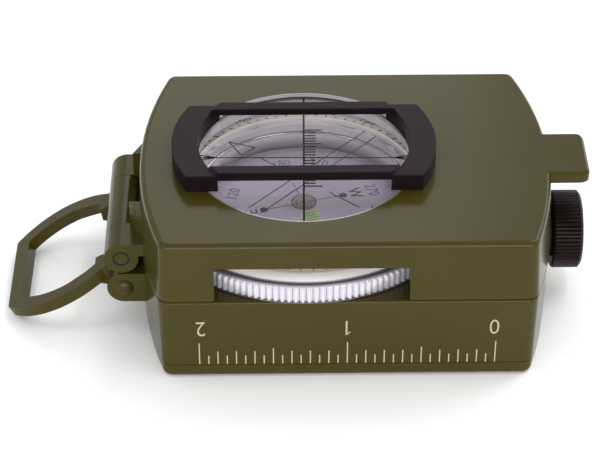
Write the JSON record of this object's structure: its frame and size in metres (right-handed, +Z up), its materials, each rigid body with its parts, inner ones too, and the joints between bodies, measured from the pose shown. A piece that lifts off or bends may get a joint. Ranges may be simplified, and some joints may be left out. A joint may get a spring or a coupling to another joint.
{
  "type": "marching compass",
  "caption": "Liquid-filled marching compass in a cast case with hinged lid, magnifier over the window, toothed bezel, thumb loop and ribbed battery cap",
  "frame": {"origin": "on the dial's axis, on the flat underside that the case stands on", "axes": "+Z up along the dial's axis, +X towards the battery cap, +Y away from the ruler edge"},
  "size_m": [0.1024, 0.0556, 0.032],
  "materials": {
    "case_paint": "satin olive-brown paint on a die casting",
    "pin_paint": "painted over with the case",
    "screw_steel": "plain steel",
    "window_clear": "polished, clear",
    "lens_clear": "polished, clear",
    "bright_metal": "turned and plated, polished",
    "black_frame": "moulded, half gloss",
    "cap_black": "moulded, fine ribs",
    "scale_cream": "satin, printed",
    "card_white": "matt, printed",
    "bowl_white": "moulded",
    "jewel_clear": "clear, tinted",
    "lamp_clear": "clear",
    "seal_rubber": "soft black",
    "brass": "plain",
    "magnet_iron": "dark",
    "cell_steel": "bright"
  },
  "bodies": {
    "base": {"base_housing": "case_paint", "bottom_plate": "case_paint", "bottom_screws": "screw_steel", "lid_hinge_pin": "pin_paint", "thumb_loop_pin": "pin_paint", "bezel_clip": "screw_steel", "capsule_bowl": "bowl_white", "capsule_glass": "window_clear", "capsule_seal": "seal_rubber", "fill_plug": "brass", "pivot_pin": "screw_steel", "button_cells": "cell_steel", "contact_spring": "brass", "lamp": "lamp_clear", "lamp_bush": "cap_black"},
    "lid": {"lid_shell": "case_paint", "window_glass": "window_clear", "window_frame": "bright_metal", "window_lining": "bright_metal", "magnifier_frame": "black_frame", "magnifier_lens": "lens_clear", "magnifier_screws": "screw_steel"},
    "loop": {"thumb_loop": "case_paint"},
    "bezel": {"bezel_ring": "bright_metal", "scale_ring": "scale_cream", "bezel_glass": "window_clear"},
    "dial": {"dial_card": "card_white", "dial_magnet": "magnet_iron", "pivot_cap": "jewel_clear"},
    "seal": {"cap_seal": "seal_rubber"},
    "cap": {"battery_cap": "cap_black"}
  },
  "joints": [
    {"name": "lid_hinge", "type": "hinge", "parent": "base", "child": "lid", "pos_m": [-0.0319, 0, 0.0161], "axis": [0, -1, 0], "range_deg": [0, 130]},
    {"name": "loop_hinge", "type": "hinge", "parent": "base", "child": "loop", "pos_m": [-0.0316, 0, 0.0098], "axis": [0, -1, 0], "range_deg": [-18, 80]},
    {"name": "bezel_turn", "type": "hinge", "parent": "base", "child": "bezel", "pos_m": [0, 0, 0.0184], "axis": [0, 0, 1], "continuous": true},
    {"name": "dial_turn", "type": "hinge", "parent": "base", "child": "dial", "pos_m": [0, 0, 0.0174], "axis": [0, 0, 1], "continuous": true},
    {"name": "cap_travel", "type": "slide", "parent": "base", "child": "seal", "axis": [1, 0, 0], "range_m": [0, 0.0015]},
    {"name": "cap_turn", "type": "hinge", "parent": "seal", "child": "cap", "pos_m": [0.0442, 0, 0.0117], "axis": [1, 0, 0], "range_deg": [0, 730]}
  ],
  "couplings": [
    {"joint": "cap_turn", "follows": "cap_travel", "rad_per_m": 8377.6}
  ]
}
